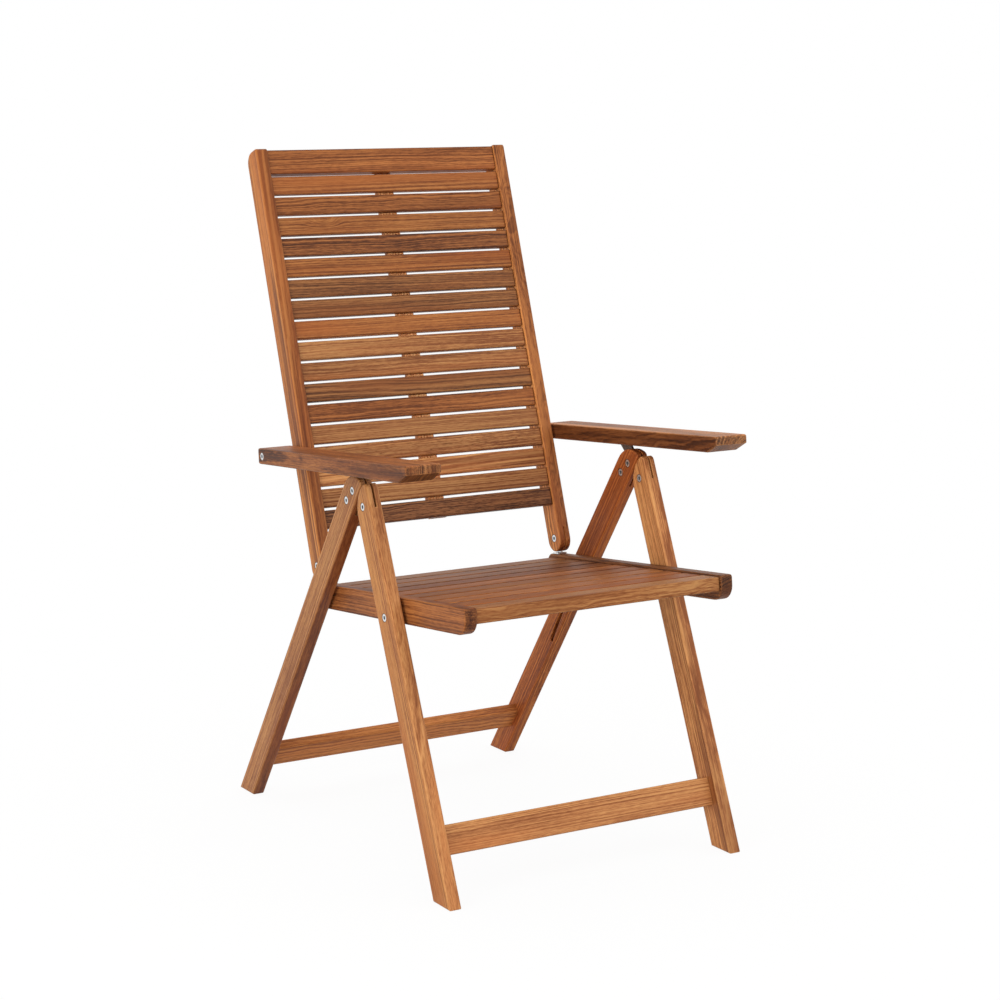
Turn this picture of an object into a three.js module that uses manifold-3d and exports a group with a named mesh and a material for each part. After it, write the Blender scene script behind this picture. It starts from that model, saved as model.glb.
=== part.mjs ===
// Folding high-back armchair in oiled teak, with a reclining back and lifting armrests.
// Millimetres, +Z up, the chair faces -Y and stands on the floor at z = 0.
// Left and right are the sitter's own: left is +X, right is -X.
// Flat boards lie in layers across the chair: legs outside, seat rails and back stiles inside.

import * as THREE from "three";
import { mergeVertices } from "three/addons/utils/BufferGeometryUtils.js";
import Module from "manifold-3d";

const wasm = await Module();
wasm.setup();

// Angles of the open chair, in degrees
const FRONT_LEG_LEAN = 22.0;
const REAR_LEG_LEAN = 36.8;
const SEAT_SLOPE = 5.0;
const SLAT_DECK_FALL = 0.4;
const BACK_LEAN = 17.65;
const ARM_SLOPE = 3.6;
const RECLINE_RANGE = 32.0;
const FOLDED_ARM_TILT = 1.6;

// Turning ratios of the linkage, each against the leg angle or the recline
const SEAT_RATIO = 1.73;
const ARM_RECLINE_RATIO = 0.715;

// Clearances
const TOUCH_GAP = 0.3;
const BORE_GAP = 0.3;
const CUT_OVERRUN = 2.0;
const WELD_DISTANCE = 0.0005;

// Layers across the chair
const LEG_OUTER_X = 260.5;
const LEG_THICKNESS = 21.0;
const LAYER_GAP = 5.3;
const RAIL_THICKNESS = 21.0;

// Legs
const LEG_PIVOT_HEIGHT = 562.6;
const FRONT_LEG_WIDTH = 46.5;
const FRONT_LEG_PIVOT_INSET = 22.25;
const REAR_LEG_WIDTH = 43.5;
const LEG_RUNNING_GAP = 0.4;
const REAR_LEG_RISE = 27.0;
const LEG_TIP_RADIUS = 8.0;
const LEG_EDGE_RADIUS = 2.6;

// Stretchers
const STRETCHER_HEIGHT = 44.8;
const STRETCHER_THICKNESS = 18.0;
const FRONT_STRETCHER_DROP = 491.4;
const REAR_STRETCHER_DROP = 617.9;

// Seat
const SEAT_PIVOT_DROP = 172.0;
const SEAT_PIVOT_INSET = 11.8;
const SEAT_PIN_REACH = 252.6;
const RAIL_DEPTH = 39.6;
const RAIL_FRONT_REACH = 204.5;
const RAIL_REAR_REACH = 309.5;
const RAIL_NOSE_RADIUS = 24.0;
const RAIL_TAIL_RADIUS = 14.0;
const RAIL_EDGE_RADIUS = 2.2;
const SEAT_SLAT_COUNT = 10;
const SEAT_SLAT_GAP = 5.5;
const SEAT_SLAT_THICKNESS = 15.0;
const FRONT_SLAT_THICKNESS = 22.2;
const SEAT_SLAT_RECESS = 2.5;
const FRONT_SLAT_SETBACK = 4.8;
const REAR_SLAT_SETBACK = 16.0;
const SEAT_BATTEN_WIDTH = 40.0;
const SEAT_BATTEN_THICKNESS = 12.0;

// Back
const BACK_HINGE_REACH = 285.0;
const BACK_HINGE_RISE = 27.0;
const STILE_DEPTH = 41.0;
const STILE_TAIL = 2.4;
const STILE_LENGTH = 691.0;
const STILE_CROWN_RADIUS = 20.0;
const STILE_EDGE_RADIUS = 2.4;
const TOP_RAIL_DROP = 1.8;
const TOP_RAIL_HEIGHT = 40.5;
const TOP_RAIL_THICKNESS = 20.0;
const BACK_SLAT_COUNT = 17;
const BACK_SLATS_RISE = 56.6;
const BACK_SLAT_GAP = 4.8;
const BACK_SLAT_THICKNESS = 14.0;
const BACK_SLAT_RECESS = 4.8;
const BACK_BATTEN_WIDTH = 30.0;
const BACK_BATTEN_THICKNESS = 10.0;
const SLAT_EDGE_RADIUS = 2.5;
const STILE_SLOT_RISE = 16.0;

// Armrests
const ARM_PIVOT_RISE = 186.4;
const ARM_PIVOT_SETBACK = 3.5;
const ARM_WIDTH = 58.0;
const ARM_THICKNESS = 25.6;
const ARM_FRONT_REACH = 500.5;
const ARM_REAR_REACH = 14.5;
const ARM_NOSE_HEIGHT = 13.3;
const ARM_BEVEL_LENGTH = 27.0;
const ARM_EDGE_RADIUS = 2.4;

// Rack under each armrest, and the pin that it stands on
const NOTCH_COUNT = 5;
const NOTCH_WIDTH = 7.0;
const NOTCH_DEPTH = 3.5;
const TOOTH_CLEARANCE = 1.1;
const RACK_WIDTH = 11.0;
const RACK_END_GAP = 3.0;
const REST_PIN_RADIUS = 2.5;
const REST_PIN_LENGTH = 9.0;
const REST_PIN_DEPTH = 4.0;
const REST_PIN_BOSS_RADIUS = 3.0;

// Steel plate between each pair of leg tops
const PLATE_THICKNESS = 3.0;
const PLATE_HALF_WIDTH = 11.0;
const PLATE_TOP_DRIFT = 7.5;
const PLATE_REACH = 77.0;
const FRONT_SLOT_DROP = 7.0;
const UPPER_BOLT_DROP = 4.6;
const UPPER_BOLT_SETBACK = 40.0;
const LOWER_BOLT_DROP = 31.0;
const LOWER_BOLT_SETBACK = 46.3;

// Hardware
const BOLT_RADIUS = 3.5;
const BOLT_HEAD_RADIUS = 6.2;
const BOLT_HEAD_HEIGHT = 3.6;
const BOLT_SINK = 0.3;
const SOCKET_RADIUS = 2.9;
const SOCKET_DEPTH = 1.8;
const SPACER_RADIUS = 8.0;
const SEAT_PIN_RADIUS = 4.0;
const GROOVE_CLEARANCE = 0.5;
const GROOVE_DEPTH = 11.0;
const PIN_END_GAP = 0.6;
const BRACKET_THICKNESS = 2.0;
const BRACKET_BASE_THICKNESS = 2.2;
const BRACKET_BASE_LENGTH = 16.0;
const BRACKET_BASE_WIDTH = 17.0;
const BRACKET_NECK_WIDTH = 14.0;
const BRACKET_EYE_RADIUS = 10.0;

// Mesh fineness
const ROUND_STEPS = 20;
const ARC_STEPS = 10;
const CORNER_STEPS = 3;
const EDGE_STEPS = 3;
const GROOVE_STEPS = 10;
const HEX_STEPS = 6;

// Colours of the boards, light to dark, and of the zinc plated steel
const TEAK_TONES = [0xb5713f, 0xa8653a, 0x9a5934, 0x8d4f2f, 0x7f4629];
const STEEL_TONE = 0xb9bcbd;
const TEAK_ROUGHNESS = 0.55;
const STEEL_ROUGHNESS = 0.32;

// Linkage, laid out in the side plane as (y, z)

const radians = THREE.MathUtils.degToRad;

function point(y, z) {
  return new THREE.Vector2(y, z);
}

// Turns a copy of a place about a centre, counter-clockwise seen from +X.
function turned(place, centre, degrees) {
  return place.clone().rotateAround(centre, radians(degrees));
}

// Carries a place in a body's own axes, turned by degrees, to the side plane.
function placed(origin, degrees, y, z) {
  return turned(point(y, z), point(0, 0), degrees).add(origin);
}

// Gives a place of the side plane in a body's own axes.
function seenFrom(origin, degrees, place) {
  return turned(place.clone().sub(origin), point(0, 0), -degrees);
}

const legPivot = point(0, LEG_PIVOT_HEIGHT);
const foldAngle = FRONT_LEG_LEAN + REAR_LEG_LEAN;
const seatPivot = placed(legPivot, -FRONT_LEG_LEAN, 0, -SEAT_PIVOT_DROP);
const railTop = RAIL_DEPTH - SEAT_PIVOT_INSET;
const seatPinRise = RAIL_DEPTH / 2 - SEAT_PIVOT_INSET;
const seatPin = placed(seatPivot, -SEAT_SLOPE, SEAT_PIN_REACH, seatPinRise);
const backHinge = placed(seatPivot, -SEAT_SLOPE, BACK_HINGE_REACH, railTop + BACK_HINGE_RISE);
const armPivot = placed(backHinge, -BACK_LEAN, ARM_PIVOT_SETBACK, ARM_PIVOT_RISE);
const restPin = placed(legPivot, REAR_LEG_LEAN, PLATE_REACH, PLATE_TOP_DRIFT);

// Folded flat, the back lies along the rear legs and the armrests stand a little off them.
const backTurn = REAR_LEG_LEAN + BACK_LEAN + (SEAT_RATIO - 1) * foldAngle;
const backRatio = backTurn / foldAngle;
const armTurn = 90 - ARM_SLOPE - REAR_LEG_LEAN + FOLDED_ARM_TILT + REAR_LEG_LEAN + BACK_LEAN;
const armFoldRatio = armTurn / foldAngle;

// Where the armrest's pivot and slope go as the chair folds and reclines.
function armPose(folded, reclined) {
  const pivotNow = turned(seatPivot, legPivot, folded);
  const hingeNow = turned(turned(backHinge, legPivot, folded), pivotNow, -SEAT_RATIO * folded);
  let origin = turned(armPivot, legPivot, folded);
  origin = turned(origin, pivotNow, -SEAT_RATIO * folded);
  origin = turned(origin, hingeNow, backRatio * folded - reclined);
  const backSwing = (1 - SEAT_RATIO + backRatio - armFoldRatio) * folded;
  const slope = -ARM_SLOPE + backSwing - (1 - ARM_RECLINE_RATIO) * reclined;
  return { origin, slope };
}

// The rest pin as seen from the armrest.
function restPinInArm(folded, reclined) {
  const pose = armPose(folded, reclined);
  return seenFrom(pose.origin, pose.slope, restPin);
}

// The seat pin as seen from the rear leg while the chair folds.
function seatPinInRearLeg(folded) {
  const pivotNow = turned(seatPivot, legPivot, folded);
  const pinNow = turned(turned(seatPin, legPivot, folded), pivotNow, -SEAT_RATIO * folded);
  return seenFrom(legPivot, REAR_LEG_LEAN, pinNow);
}

// Outlines

// A polygon whose corners [y, z, radius, steps] are rounded by arcs.
function roundedOutline(corners) {
  const outline = [];
  corners.forEach(([y, z, radius, steps], index) => {
    const corner = point(y, z);
    if (radius === 0) {
      outline.push(corner);
      return;
    }
    const [py, pz] = corners[(index + corners.length - 1) % corners.length];
    const [ny, nz] = corners[(index + 1) % corners.length];
    const toPrevious = point(py, pz).sub(corner).normalize();
    const toNext = point(ny, nz).sub(corner).normalize();
    const halfAngle = Math.acos(toPrevious.dot(toNext)) / 2;
    const bisector = toPrevious.clone().add(toNext).normalize();
    const centre = corner.clone().addScaledVector(bisector, radius / Math.sin(halfAngle));
    const start = corner.clone().addScaledVector(toPrevious, radius / Math.tan(halfAngle)).sub(centre);
    const end = corner.clone().addScaledVector(toNext, radius / Math.tan(halfAngle)).sub(centre);
    const sweep = Math.atan2(start.cross(end), start.dot(end));
    for (let step = 0; step <= steps; step += 1) {
      outline.push(start.clone().rotateAround(point(0, 0), (sweep * step) / steps).add(centre));
    }
  });
  return outline.filter((place, index) => place.distanceTo(outline.at(index - 1)) > WELD_DISTANCE);
}

// Places on an arc about a centre, from one angle to another.
function arc(centre, radius, fromAngle, toAngle, steps) {
  const places = [];
  for (let step = 0; step <= steps; step += 1) {
    const angle = fromAngle + ((toAngle - fromAngle) * step) / steps;
    places.push(point(radius, 0).rotateAround(point(0, 0), angle).add(centre));
  }
  return places;
}

// A strip with round ends along a run of places.
function stripOutline(run, halfWidth) {
  const ahead = (index) => {
    const from = run[Math.max(index - 1, 0)];
    const to = run[Math.min(index + 1, run.length - 1)];
    return to.clone().sub(from).normalize();
  };
  const outline = [];
  const cap = (centre, direction) => {
    const middle = direction.angle();
    outline.push(...arc(centre, halfWidth, middle - Math.PI / 2, middle + Math.PI / 2, ARC_STEPS));
  };
  run.slice(1, -1).forEach((place, index) => {
    const direction = ahead(index + 1);
    outline.push(point(direction.y, -direction.x).multiplyScalar(halfWidth).add(place));
  });
  cap(run[run.length - 1], ahead(run.length - 1));
  run.slice(1, -1).reverse().forEach((place, index) => {
    const direction = ahead(run.length - 2 - index);
    outline.push(point(-direction.y, direction.x).multiplyScalar(halfWidth).add(place));
  });
  cap(run[0], ahead(0).multiplyScalar(-1));
  return outline;
}

// Solids

// Extrudes a side outline across the chair, from one x to another, with rounded outer edges.
function board(outline, fromX, toX, edgeRadius) {
  const rounded = edgeRadius > 0;
  const geometry = new THREE.ExtrudeGeometry(new THREE.Shape(outline), {
    depth: toX - fromX - 2 * edgeRadius,
    bevelEnabled: rounded,
    bevelThickness: edgeRadius,
    bevelSize: edgeRadius,
    bevelOffset: -edgeRadius,
    bevelSegments: EDGE_STEPS,
  });
  geometry.translate(0, 0, fromX + edgeRadius);
  const toSidePlane = new THREE.Matrix4();
  toSidePlane.makeBasis(new THREE.Vector3(0, 1, 0), new THREE.Vector3(0, 0, 1), new THREE.Vector3(1, 0, 0));
  geometry.applyMatrix4(toSidePlane);
  return geometry;
}

// A rod across the chair at a place of the side plane.
function rod(place, radius, fromX, toX, steps = ROUND_STEPS) {
  const geometry = new THREE.CylinderGeometry(radius, radius, toX - fromX, steps);
  geometry.rotateZ(Math.PI / 2);
  geometry.translate((fromX + toX) / 2, place.x, place.y);
  return geometry;
}

function box(fromX, toX, fromY, toY, fromZ, toZ) {
  const geometry = new THREE.BoxGeometry(toX - fromX, toY - fromY, toZ - fromZ);
  geometry.translate((fromX + toX) / 2, (fromY + toY) / 2, (fromZ + toZ) / 2);
  return geometry;
}

function solid(geometry) {
  const bare = geometry.clone();
  bare.deleteAttribute("normal");
  bare.deleteAttribute("uv");
  const merged = mergeVertices(bare, WELD_DISTANCE);
  return new wasm.Manifold(new wasm.Mesh({
    numProp: 3,
    vertProperties: new Float32Array(merged.attributes.position.array),
    triVerts: new Uint32Array(merged.index.array),
  }));
}

function surface(manifold) {
  const mesh = manifold.getMesh();
  const geometry = new THREE.BufferGeometry();
  geometry.setAttribute("position", new THREE.BufferAttribute(mesh.vertProperties, 3));
  geometry.setIndex(new THREE.BufferAttribute(mesh.triVerts, 1));
  geometry.computeVertexNormals();
  return geometry;
}

function shaped(body, cuts = [], joins = []) {
  let result = solid(body);
  for (const joined of joins) {
    result = result.add(solid(joined));
  }
  for (const cut of cuts) {
    result = result.subtract(solid(cut));
  }
  return surface(result);
}

// Orders the two faces of a layer on either side of the chair.
function layer(side, innerX, outerX) {
  return side > 0 ? [innerX, outerX] : [-outerX, -innerX];
}

// Scene graph: each moving body has its own group, turned to its own lean.

const chair = new THREE.Group();

function bodyGroup(origin, degrees) {
  const group = new THREE.Group();
  group.position.set(0, origin.x, origin.y);
  group.rotation.x = radians(degrees);
  chair.add(group);
  return group;
}

const rearFrame = bodyGroup(legPivot, REAR_LEG_LEAN);
const frontFrame = bodyGroup(legPivot, -FRONT_LEG_LEAN);
const seat = bodyGroup(seatPivot, -SEAT_SLOPE);
const back = bodyGroup(backHinge, -BACK_LEAN);
const arms = bodyGroup(armPivot, -ARM_SLOPE);

function addPiece(group, name, geometry, material) {
  const mesh = new THREE.Mesh(geometry, material);
  mesh.name = name;
  group.add(mesh);
}

function teak(tone) {
  const color = TEAK_TONES[tone % TEAK_TONES.length];
  return new THREE.MeshStandardMaterial({ color, roughness: TEAK_ROUGHNESS, metalness: 0 });
}

function steel() {
  return new THREE.MeshStandardMaterial({ color: STEEL_TONE, roughness: STEEL_ROUGHNESS, metalness: 1 });
}

// Bolts and their holes

const legInnerX = LEG_OUTER_X - LEG_THICKNESS;
const railOuterX = legInnerX - LAYER_GAP;
const railInnerX = railOuterX - RAIL_THICKNESS;
const legMiddleX = (legInnerX + LEG_OUTER_X) / 2;
const boreRadius = BOLT_RADIUS + BORE_GAP;
const sinkRadius = BOLT_HEAD_RADIUS + BORE_GAP;
const sinkDepth = BOLT_HEAD_HEIGHT + BOLT_SINK + TOUCH_GAP;

// A bolt with a sunk head in each outer face, and a collar where layers stand apart.
function bolt(place, fromX, toX, collar) {
  const start = fromX + BOLT_SINK;
  const end = toX - BOLT_SINK;
  const joins = [
    rod(place, BOLT_HEAD_RADIUS, start, start + BOLT_HEAD_HEIGHT),
    rod(place, BOLT_HEAD_RADIUS, end - BOLT_HEAD_HEIGHT, end),
  ];
  if (collar) {
    joins.push(rod(place, SPACER_RADIUS, collar[0] + TOUCH_GAP, collar[1] - TOUCH_GAP));
  }
  const cuts = [
    rod(place, SOCKET_RADIUS, start - CUT_OVERRUN, start + SOCKET_DEPTH, HEX_STEPS),
    rod(place, SOCKET_RADIUS, end - SOCKET_DEPTH, end + CUT_OVERRUN, HEX_STEPS),
  ];
  return shaped(rod(place, BOLT_RADIUS, start, end), cuts, joins);
}

// Cuts for a bolt that runs right through, with a sink in the faces named.
function boltHole(place, fromX, toX, sinkAtStart, sinkAtEnd) {
  const cuts = [rod(place, boreRadius, fromX - CUT_OVERRUN, toX + CUT_OVERRUN)];
  if (sinkAtStart) {
    cuts.push(rod(place, sinkRadius, fromX - CUT_OVERRUN, fromX + sinkDepth));
  }
  if (sinkAtEnd) {
    cuts.push(rod(place, sinkRadius, toX - sinkDepth, toX + CUT_OVERRUN));
  }
  return cuts;
}

// Legs

const frontLegMiddle = FRONT_LEG_PIVOT_INSET - FRONT_LEG_WIDTH / 2;
const legOffset = FRONT_LEG_PIVOT_INSET + REAR_LEG_WIDTH / 2 + LEG_RUNNING_GAP;
const slotHalf = PLATE_THICKNESS / 2 + TOUCH_GAP;

// Height along a leg's own axis at which its edge meets the floor.
function footLevel(lean, edge) {
  return -(LEG_PIVOT_HEIGHT + edge * Math.sin(radians(lean))) / Math.cos(radians(lean));
}

// A leg's top is a quarter round as wide as the leg, centred on its front edge.
function legOutline(lean, middle, width, rise) {
  const frontEdge = middle - width / 2;
  const rearEdge = middle + width / 2;
  const centre = point(frontEdge, rise - width);
  const tipReach = width - LEG_TIP_RADIUS;
  const tipAngle = Math.acos(LEG_TIP_RADIUS / tipReach);
  const tipCentre = point(tipReach, 0).rotateAround(point(0, 0), tipAngle).add(centre);
  return [
    point(frontEdge, footLevel(lean, frontEdge)),
    point(rearEdge, footLevel(lean, rearEdge)),
    ...arc(centre, width, 0, tipAngle, ARC_STEPS).slice(0, -1),
    ...arc(tipCentre, LEG_TIP_RADIUS, tipAngle, Math.PI, CORNER_STEPS),
  ];
}

// The front leg's round top just clears the rear leg, open and folded alike.
const frontEdgeReach = FRONT_LEG_WIDTH - FRONT_LEG_PIVOT_INSET;
const frontTopCentre = -frontEdgeReach * Math.tan(radians(foldAngle / 2));
const frontLegRise = frontTopCentre + FRONT_LEG_WIDTH;
const upperBolt = point(UPPER_BOLT_SETBACK, -UPPER_BOLT_DROP);
const lowerBolt = point(LOWER_BOLT_SETBACK, -LOWER_BOLT_DROP);
const pivotPlace = point(0, 0);
const plateRoom = PLATE_HALF_WIDTH + TOUCH_GAP;
const rearSlotFloor = -(LOWER_BOLT_DROP + PLATE_HALF_WIDTH + TOUCH_GAP);
const grooveRun = [];
for (let step = 0; step <= GROOVE_STEPS; step += 1) {
  grooveRun.push(seatPinInRearLeg((foldAngle * step) / GROOVE_STEPS));
}

function rearLeg(side) {
  const [fromX, toX] = layer(side, legInnerX, LEG_OUTER_X);
  const outline = legOutline(REAR_LEG_LEAN, legOffset, REAR_LEG_WIDTH, REAR_LEG_RISE);
  const [grooveFrom, grooveTo] = layer(side, legInnerX - CUT_OVERRUN, legInnerX + GROOVE_DEPTH);
  const slotMiddle = side * legMiddleX;
  const cuts = [
    box(
      slotMiddle - slotHalf,
      slotMiddle + slotHalf,
      legOffset - REAR_LEG_WIDTH,
      legOffset + REAR_LEG_WIDTH,
      rearSlotFloor,
      REAR_LEG_RISE + CUT_OVERRUN,
    ),
    board(stripOutline(grooveRun, SEAT_PIN_RADIUS + GROOVE_CLEARANCE), grooveFrom, grooveTo, 0),
    ...boltHole(upperBolt, fromX, toX, true, true),
    ...boltHole(lowerBolt, fromX, toX, true, true),
  ];
  return shaped(board(outline, fromX, toX, LEG_EDGE_RADIUS), cuts);
}

function frontLeg(side) {
  const [fromX, toX] = layer(side, legInnerX, LEG_OUTER_X);
  const outline = legOutline(-FRONT_LEG_LEAN, frontLegMiddle, FRONT_LEG_WIDTH, frontLegRise);
  const slotMiddle = side * legMiddleX;
  const seatBoltPlace = point(0, -SEAT_PIVOT_DROP);
  const slotFrom = slotMiddle - slotHalf;
  const slotTo = slotMiddle + slotHalf;
  // The slot is deeper round the plate's eye and on the side where the plate leaves the leg.
  const cuts = [
    box(slotFrom, slotTo, -FRONT_LEG_WIDTH, FRONT_LEG_WIDTH, -FRONT_SLOT_DROP, frontLegRise + CUT_OVERRUN),
    box(slotFrom, slotTo, 0, FRONT_LEG_WIDTH, -plateRoom, 0),
    rod(pivotPlace, plateRoom, slotFrom, slotTo),
    ...boltHole(pivotPlace, fromX, toX, true, true),
    ...boltHole(seatBoltPlace, fromX, toX, side < 0, side > 0),
  ];
  return shaped(board(outline, fromX, toX, LEG_EDGE_RADIUS), cuts);
}

// A stretcher butts against the inner faces of its two legs.
function stretcher(middle, drop) {
  const outline = roundedOutline([
    [middle - STRETCHER_THICKNESS / 2, -drop - STRETCHER_HEIGHT, LEG_EDGE_RADIUS, CORNER_STEPS],
    [middle + STRETCHER_THICKNESS / 2, -drop - STRETCHER_HEIGHT, LEG_EDGE_RADIUS, CORNER_STEPS],
    [middle + STRETCHER_THICKNESS / 2, -drop, LEG_EDGE_RADIUS, CORNER_STEPS],
    [middle - STRETCHER_THICKNESS / 2, -drop, LEG_EDGE_RADIUS, CORNER_STEPS],
  ]);
  return board(outline, -legInnerX + TOUCH_GAP, legInnerX - TOUCH_GAP, 0);
}

// Steel plate: a bar from the leg pivot to the armrest, with a foot bolted in the rear leg.
function plate(side) {
  const middleX = side * legMiddleX;
  const fromX = middleX - PLATE_THICKNESS / 2;
  const toX = middleX + PLATE_THICKNESS / 2;
  const tip = point(PLATE_REACH, PLATE_TOP_DRIFT);
  const along = tip.clone().normalize();
  const across = point(-along.y, along.x).multiplyScalar(PLATE_HALF_WIDTH);
  // The bar's end is cut level with the armrest's underside.
  const underside = turned(point(1, 0), point(0, 0), -ARM_SLOPE - REAR_LEG_LEAN);
  const upward = point(-underside.y, underside.x);
  const cutMiddle = tip.clone().addScaledVector(upward, -REST_PIN_DEPTH);
  const cutCorner = (edge) => {
    const reach = cutMiddle.clone().sub(edge).cross(underside) / along.cross(underside);
    return edge.clone().addScaledVector(along, reach);
  };
  const upperEdge = across.clone();
  const lowerEdge = across.clone().multiplyScalar(-1);
  const bar = [lowerEdge, cutCorner(lowerEdge), cutCorner(upperEdge), upperEdge];
  const bossRun = [tip.clone().addScaledVector(upward, -REST_PIN_DEPTH - REST_PIN_BOSS_RADIUS), tip];
  const joins = [
    rod(pivotPlace, PLATE_HALF_WIDTH, fromX, toX),
    board(stripOutline([upperBolt, lowerBolt], PLATE_HALF_WIDTH), fromX, toX, 0),
    board(stripOutline(bossRun, REST_PIN_BOSS_RADIUS), fromX, toX, 0),
    rod(tip, REST_PIN_RADIUS, middleX - REST_PIN_LENGTH / 2, middleX + REST_PIN_LENGTH / 2),
  ];
  const cuts = [
    ...boltHole(pivotPlace, fromX, toX, false, false),
    ...boltHole(upperBolt, fromX, toX, false, false),
  ];
  const plain = solid(shaped(board(bar, fromX, toX, 0), cuts, joins));
  const [boltFrom, boltTo] = layer(side, legInnerX, LEG_OUTER_X);
  return surface(plain.add(solid(bolt(lowerBolt, boltFrom, boltTo))));
}

for (const [side, word, tone] of [[1, "left", 1], [-1, "right", 2]]) {
  const [legFrom, legTo] = layer(side, legInnerX, LEG_OUTER_X);
  const [railFrom, railTo] = layer(side, railInnerX, LEG_OUTER_X);
  const collar = layer(side, railOuterX, legInnerX);
  addPiece(rearFrame, `rear_leg_${word}`, rearLeg(side), teak(tone));
  addPiece(rearFrame, `leg_plate_${word}`, plate(side), steel());
  addPiece(rearFrame, `plate_bolt_${word}`, bolt(upperBolt, legFrom, legTo), steel());
  addPiece(frontFrame, `front_leg_${word}`, frontLeg(side), teak(tone - 1));
  addPiece(frontFrame, `leg_pivot_bolt_${word}`, bolt(pivotPlace, legFrom, legTo), steel());
  const seatBolt = bolt(point(0, -SEAT_PIVOT_DROP), railFrom, railTo, collar);
  addPiece(frontFrame, `seat_pivot_bolt_${word}`, seatBolt, steel());
}
addPiece(rearFrame, "rear_stretcher", stretcher(legOffset, REAR_STRETCHER_DROP), teak(1));
addPiece(frontFrame, "front_stretcher", stretcher(0, FRONT_STRETCHER_DROP), teak(0));

// Seat

const seatPinPlace = point(SEAT_PIN_REACH, seatPinRise);

function seatRail(side) {
  const [fromX, toX] = layer(side, railInnerX, railOuterX);
  const tightCorner = RAIL_EDGE_RADIUS * 2;
  const outline = roundedOutline([
    [-RAIL_FRONT_REACH, -SEAT_PIVOT_INSET, RAIL_NOSE_RADIUS, ARC_STEPS],
    [RAIL_REAR_REACH, -SEAT_PIVOT_INSET, tightCorner, CORNER_STEPS],
    [RAIL_REAR_REACH, railTop, RAIL_TAIL_RADIUS, ARC_STEPS],
    [-RAIL_FRONT_REACH, railTop, tightCorner, CORNER_STEPS],
  ]);
  const cuts = [
    ...boltHole(point(0, 0), fromX, toX, side > 0, side < 0),
    rod(seatPinPlace, SEAT_PIN_RADIUS + BORE_GAP, fromX - CUT_OVERRUN, toX + CUT_OVERRUN),
    ...boltHole(seatPinPlace, fromX, toX, side > 0, side < 0),
  ];
  return shaped(board(outline, fromX, toX, RAIL_EDGE_RADIUS), cuts);
}

// The pin that is fixed in the seat rail and slides in the rear leg's groove.
function seatPinPiece(side) {
  const [fromX, toX] = layer(side, railInnerX + BOLT_SINK, legInnerX + GROOVE_DEPTH - PIN_END_GAP);
  const [headFrom, headTo] = layer(side, railInnerX + BOLT_SINK, railInnerX + BOLT_SINK + BOLT_HEAD_HEIGHT);
  const [collarFrom, collarTo] = layer(side, railOuterX + TOUCH_GAP, legInnerX - TOUCH_GAP);
  const [socketFrom, socketTo] = layer(side, railInnerX - CUT_OVERRUN, railInnerX + BOLT_SINK + SOCKET_DEPTH);
  const joins = [
    rod(seatPinPlace, BOLT_HEAD_RADIUS, headFrom, headTo),
    rod(seatPinPlace, SPACER_RADIUS, collarFrom, collarTo),
  ];
  const cuts = [rod(seatPinPlace, SOCKET_RADIUS, socketFrom, socketTo, HEX_STEPS)];
  return shaped(rod(seatPinPlace, SEAT_PIN_RADIUS, fromX, toX), cuts, joins);
}

// A slat butts against the inner faces of the rails or stiles on its two sides.
function slat(fromY, toY, fromZ, toZ, halfLength) {
  const outline = roundedOutline([
    [fromY, fromZ, SLAT_EDGE_RADIUS, CORNER_STEPS],
    [toY, fromZ, SLAT_EDGE_RADIUS, CORNER_STEPS],
    [toY, toZ, SLAT_EDGE_RADIUS, CORNER_STEPS],
    [fromY, toZ, SLAT_EDGE_RADIUS, CORNER_STEPS],
  ]);
  return board(outline, -halfLength, halfLength, 0);
}

// Hinge bracket: a base screwed on the rail and an eye that stands in the stile's slot.
function hingeBracket(side) {
  const middleX = (side * (railInnerX + railOuterX)) / 2;
  const eye = point(BACK_HINGE_REACH, railTop + BACK_HINGE_RISE);
  const baseFloor = railTop + TOUCH_GAP;
  const tongueFrom = middleX - BRACKET_THICKNESS / 2;
  const tongueTo = middleX + BRACKET_THICKNESS / 2;
  const base = box(
    middleX - BRACKET_BASE_WIDTH / 2,
    middleX + BRACKET_BASE_WIDTH / 2,
    eye.x - BRACKET_BASE_LENGTH / 2,
    eye.x + BRACKET_BASE_LENGTH / 2,
    baseFloor,
    baseFloor + BRACKET_BASE_THICKNESS,
  );
  const neck = box(
    tongueFrom,
    tongueTo,
    eye.x - BRACKET_NECK_WIDTH / 2,
    eye.x + BRACKET_NECK_WIDTH / 2,
    baseFloor,
    eye.y,
  );
  const eyeDisc = rod(eye, BRACKET_EYE_RADIUS, tongueFrom, tongueTo);
  const hole = rod(eye, boreRadius, tongueFrom - CUT_OVERRUN, tongueTo + CUT_OVERRUN);
  return shaped(base, [hole], [neck, eyeDisc]);
}

for (const [side, word, tone] of [[1, "left", 2], [-1, "right", 1]]) {
  addPiece(seat, `seat_rail_${word}`, seatRail(side), teak(tone));
  addPiece(seat, `seat_pin_${word}`, seatPinPiece(side), steel());
  addPiece(seat, `hinge_bracket_${word}`, hingeBracket(side), steel());
}

// The slats fall a little more to the rear than the rails; the deck turns at its front edge.
const deck = new THREE.Group();
const seatSlatSpan = RAIL_FRONT_REACH + RAIL_REAR_REACH - FRONT_SLAT_SETBACK - REAR_SLAT_SETBACK;
deck.position.set(0, -RAIL_FRONT_REACH + FRONT_SLAT_SETBACK, railTop - SEAT_SLAT_RECESS);
deck.rotation.x = -radians(SLAT_DECK_FALL);
seat.add(deck);

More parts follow.
